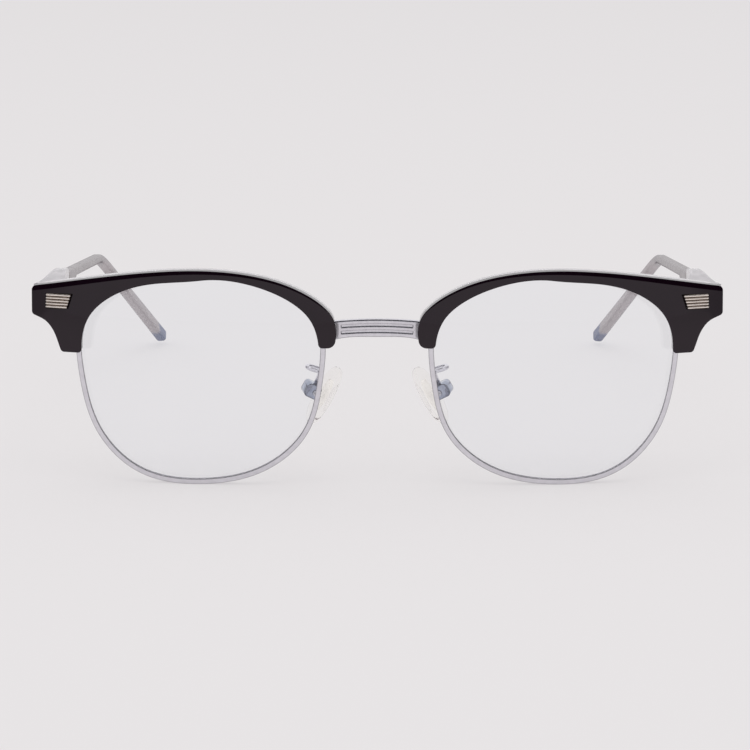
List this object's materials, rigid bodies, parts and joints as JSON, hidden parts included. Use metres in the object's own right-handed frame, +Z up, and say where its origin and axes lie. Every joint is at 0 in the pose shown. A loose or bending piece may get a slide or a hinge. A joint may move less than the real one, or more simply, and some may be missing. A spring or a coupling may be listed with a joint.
{
  "type": "half rim eyeglasses",
  "caption": "Half rim eyeglasses with dark brows over metal rims, clear folding temples, ribbed corner plaques and rocking silicone nose pads.",
  "frame": {"origin": "on the table under the middle of the bridge, level with the front of the lenses", "axes": "+X to the wearer's left, +Y from the front back along the temples, +Z up; the temples are open and the rims' bottoms and the temple tips stand on Z = 0"},
  "size_m": [0.1382, 0.1539, 0.0436],
  "materials": {
    "silver_metal": "polished",
    "cup_metal": "polished",
    "plaque_metal": "satin, warm tint",
    "hinge_metal": "satin",
    "core_metal": "satin",
    "screw_steel": "machined",
    "black_acetate": "polished",
    "clear_acetate": "polished, see-through grey",
    "insert_plastic": "see-through",
    "silicone": "soft, see-through",
    "lens": "clear, coated"
  },
  "bodies": {
    "front": {"bridge": "silver_metal", "brow_left": "black_acetate", "brow_right": "black_acetate", "brow_backing_left": "clear_acetate", "brow_backing_right": "clear_acetate", "brow_screw_left": "screw_steel", "brow_screw_right": "screw_steel", "plaque_left": "plaque_metal", "plaque_right": "plaque_metal", "rim_left": "silver_metal", "rim_right": "silver_metal", "rim_lock_screw_left": "screw_steel", "rim_lock_screw_right": "screw_steel", "lens_left": "lens", "lens_right": "lens", "hinge_front_left": "hinge_metal", "hinge_front_right": "hinge_metal", "hinge_screw_left": "screw_steel", "hinge_screw_right": "screw_steel", "pad_arm_left": "silver_metal", "pad_arm_right": "silver_metal", "pad_cup_left": "cup_metal", "pad_cup_right": "cup_metal", "pad_screw_left": "screw_steel", "pad_screw_right": "screw_steel"},
    "temple_left": {"temple_left": "clear_acetate", "temple_core_left": "core_metal"},
    "nose_pad_left": {"nose_pad_left": "silicone", "pad_insert_left": "insert_plastic"},
    "temple_right": {"temple_right": "clear_acetate", "temple_core_right": "core_metal"},
    "nose_pad_right": {"nose_pad_right": "silicone", "pad_insert_right": "insert_plastic"}
  },
  "joints": [
    {"name": "temple_fold_left", "type": "hinge", "parent": "front", "child": "temple_left", "pos_m": [0.06185, 0.0235, 0.0359], "axis": [0, 0, 1], "range_deg": [0, 84]},
    {"name": "temple_fold_right", "type": "hinge", "parent": "front", "child": "temple_right", "pos_m": [-0.06185, 0.0235, 0.0359], "axis": [0, 0, -1], "range_deg": [0, 90]},
    {"name": "nose_pad_rock_left", "type": "hinge", "parent": "front", "child": "nose_pad_left", "pos_m": [0.01275, 0.00921, 0.01795], "axis": [-0.2411, -0.9613, -0.1336], "range_deg": [-10, 10]},
    {"name": "nose_pad_rock_right", "type": "hinge", "parent": "front", "child": "nose_pad_right", "pos_m": [-0.01275, 0.00921, 0.01795], "axis": [-0.2411, 0.9613, 0.1336], "range_deg": [-10, 10]}
  ]
}
